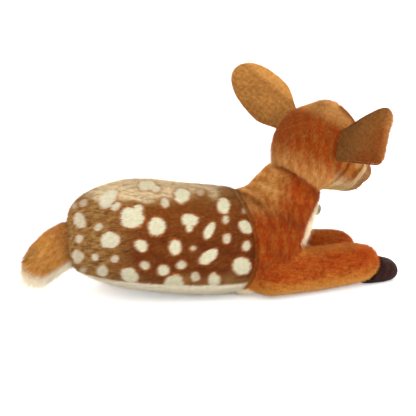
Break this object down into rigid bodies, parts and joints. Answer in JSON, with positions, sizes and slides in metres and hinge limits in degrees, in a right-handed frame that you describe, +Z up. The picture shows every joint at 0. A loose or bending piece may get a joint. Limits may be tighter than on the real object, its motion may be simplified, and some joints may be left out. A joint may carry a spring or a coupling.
{
  "type": "lying plush fawn",
  "caption": "Stuffed plush fawn lying on its belly with the head turned back to its left; head, ears, legs and tail flex at their seams and spring back.",
  "frame": {"origin": "middle of the flat patch that the belly panel rests on", "axes": "+X from the tail to the chest and forelegs, +Y to the fawn's left, which the head is turned towards, +Z up"},
  "size_m": [0.3866, 0.1989, 0.2251],
  "materials": {
    "spotted_pile": "long dark brown pile with cream spots, each in an orange halo",
    "rust_pile": "orange-brown pile with golden tips",
    "cream_pile": "cream pile",
    "tail_pile": "long tan pile with a pale fringe",
    "ear_pile": "short tan pile",
    "muzzle_pile": "short tan pile with a cream band",
    "hoof_pile": "very short dark brown pile",
    "nose_cloth": "smooth dark cloth",
    "dark_thread": "embroidery thread",
    "polyester_filling": "white polyester fibre, fully covered",
    "pouch_cloth": "woven bag of plastic pellets, fully covered",
    "tag_cloth": "plain grey-green woven patch",
    "label_cloth": "plain white satin ribbon",
    "eye_plastic": "polished dark plastic",
    "washer_plastic": "moulded white plastic, fully covered"
  },
  "bodies": {
    "torso": {"coat_skin": "spotted_pile", "belly_panel": "cream_pile", "shoulder_skin": "rust_pile", "chest_bib": "cream_pile", "body_filling": "polyester_filling", "pellet_pouch": "pouch_cloth", "chest_tag": "tag_cloth", "care_label": "label_cloth"},
    "head": {"head_back_skin": "rust_pile", "face_skin": "rust_pile", "muzzle_skin": "muzzle_pile", "head_filling": "polyester_filling", "nose_pad": "nose_cloth", "mouth_thread": "dark_thread", "eye_left": "eye_plastic", "eye_right": "eye_plastic", "eye_washer_left": "washer_plastic", "eye_washer_right": "washer_plastic"},
    "ear_left": {"ear_back_left": "ear_pile", "ear_lining_left": "cream_pile"},
    "ear_right": {"ear_back_right": "ear_pile", "ear_lining_right": "cream_pile"},
    "tail": {"tail_upper_skin": "tail_pile", "tail_under_skin": "cream_pile", "tail_filling": "polyester_filling"},
    "foreleg_right": {"foreleg_skin_right": "rust_pile", "foreleg_filling_right": "polyester_filling", "foreleg_hoof_right": "hoof_pile"},
    "foreleg_left": {"foreleg_skin_left": "rust_pile", "foreleg_filling_left": "polyester_filling", "foreleg_hoof_left": "hoof_pile"},
    "hind_leg_right": {"hind_leg_skin_right": "rust_pile", "hind_leg_filling_right": "polyester_filling", "hind_leg_hoof_right": "hoof_pile"},
    "hind_leg_left": {"hind_leg_skin_left": "rust_pile", "hind_leg_filling_left": "polyester_filling", "hind_leg_hoof_left": "hoof_pile"}
  },
  "joints": [
    {"name": "neck_turn", "type": "hinge", "parent": "torso", "child": "head", "pos_m": [0.1072, 0.03799, 0.1391], "axis": [0.4344, 0.0993, 0.8952], "range_deg": [-15, 15], "stiffness_Nm_per_rad": 0.4},
    {"name": "ear_left_bend", "type": "hinge", "parent": "head", "child": "ear_left", "pos_m": [0.08099, 0.06138, 0.17021], "axis": [-0.6184, 0.1906, -0.7624], "range_deg": [-18, 18], "stiffness_Nm_per_rad": 0.03},
    {"name": "ear_right_bend", "type": "hinge", "parent": "head", "child": "ear_right", "pos_m": [0.12813, -0.00117, 0.15428], "axis": [0.1916, 0.3758, 0.9067], "range_deg": [-18, 18], "stiffness_Nm_per_rad": 0.03},
    {"name": "tail_bend", "type": "hinge", "parent": "torso", "child": "tail", "pos_m": [-0.14672, 0, 0.05936], "axis": [0, 1, 0], "range_deg": [-22, 22], "stiffness_Nm_per_rad": 0.15},
    {"name": "foreleg_right_lift", "type": "hinge", "parent": "torso", "child": "foreleg_right", "pos_m": [0.0536, -0.0232, 0.023], "axis": [0.309, -0.9511, 0], "range_deg": [0, 12], "stiffness_Nm_per_rad": 0.5},
    {"name": "foreleg_left_lift", "type": "hinge", "parent": "torso", "child": "foreleg_left", "pos_m": [0.03606, 0.0522, 0.023], "axis": [0.1045, -0.9945, 0], "range_deg": [0, 12], "stiffness_Nm_per_rad": 0.5},
    {"name": "hind_leg_right_lift", "type": "hinge", "parent": "torso", "child": "hind_leg_right", "pos_m": [-0.10003, 0.03828, 0.018], "axis": [0.9659, -0.2588, 0], "range_deg": [0, 12], "stiffness_Nm_per_rad": 0.3},
    {"name": "hind_leg_left_lift", "type": "hinge", "parent": "torso", "child": "hind_leg_left", "pos_m": [-0.05187, 0.04872, 0.018], "axis": [0.6157, -0.788, 0], "range_deg": [0, 12], "stiffness_Nm_per_rad": 0.3}
  ]
}
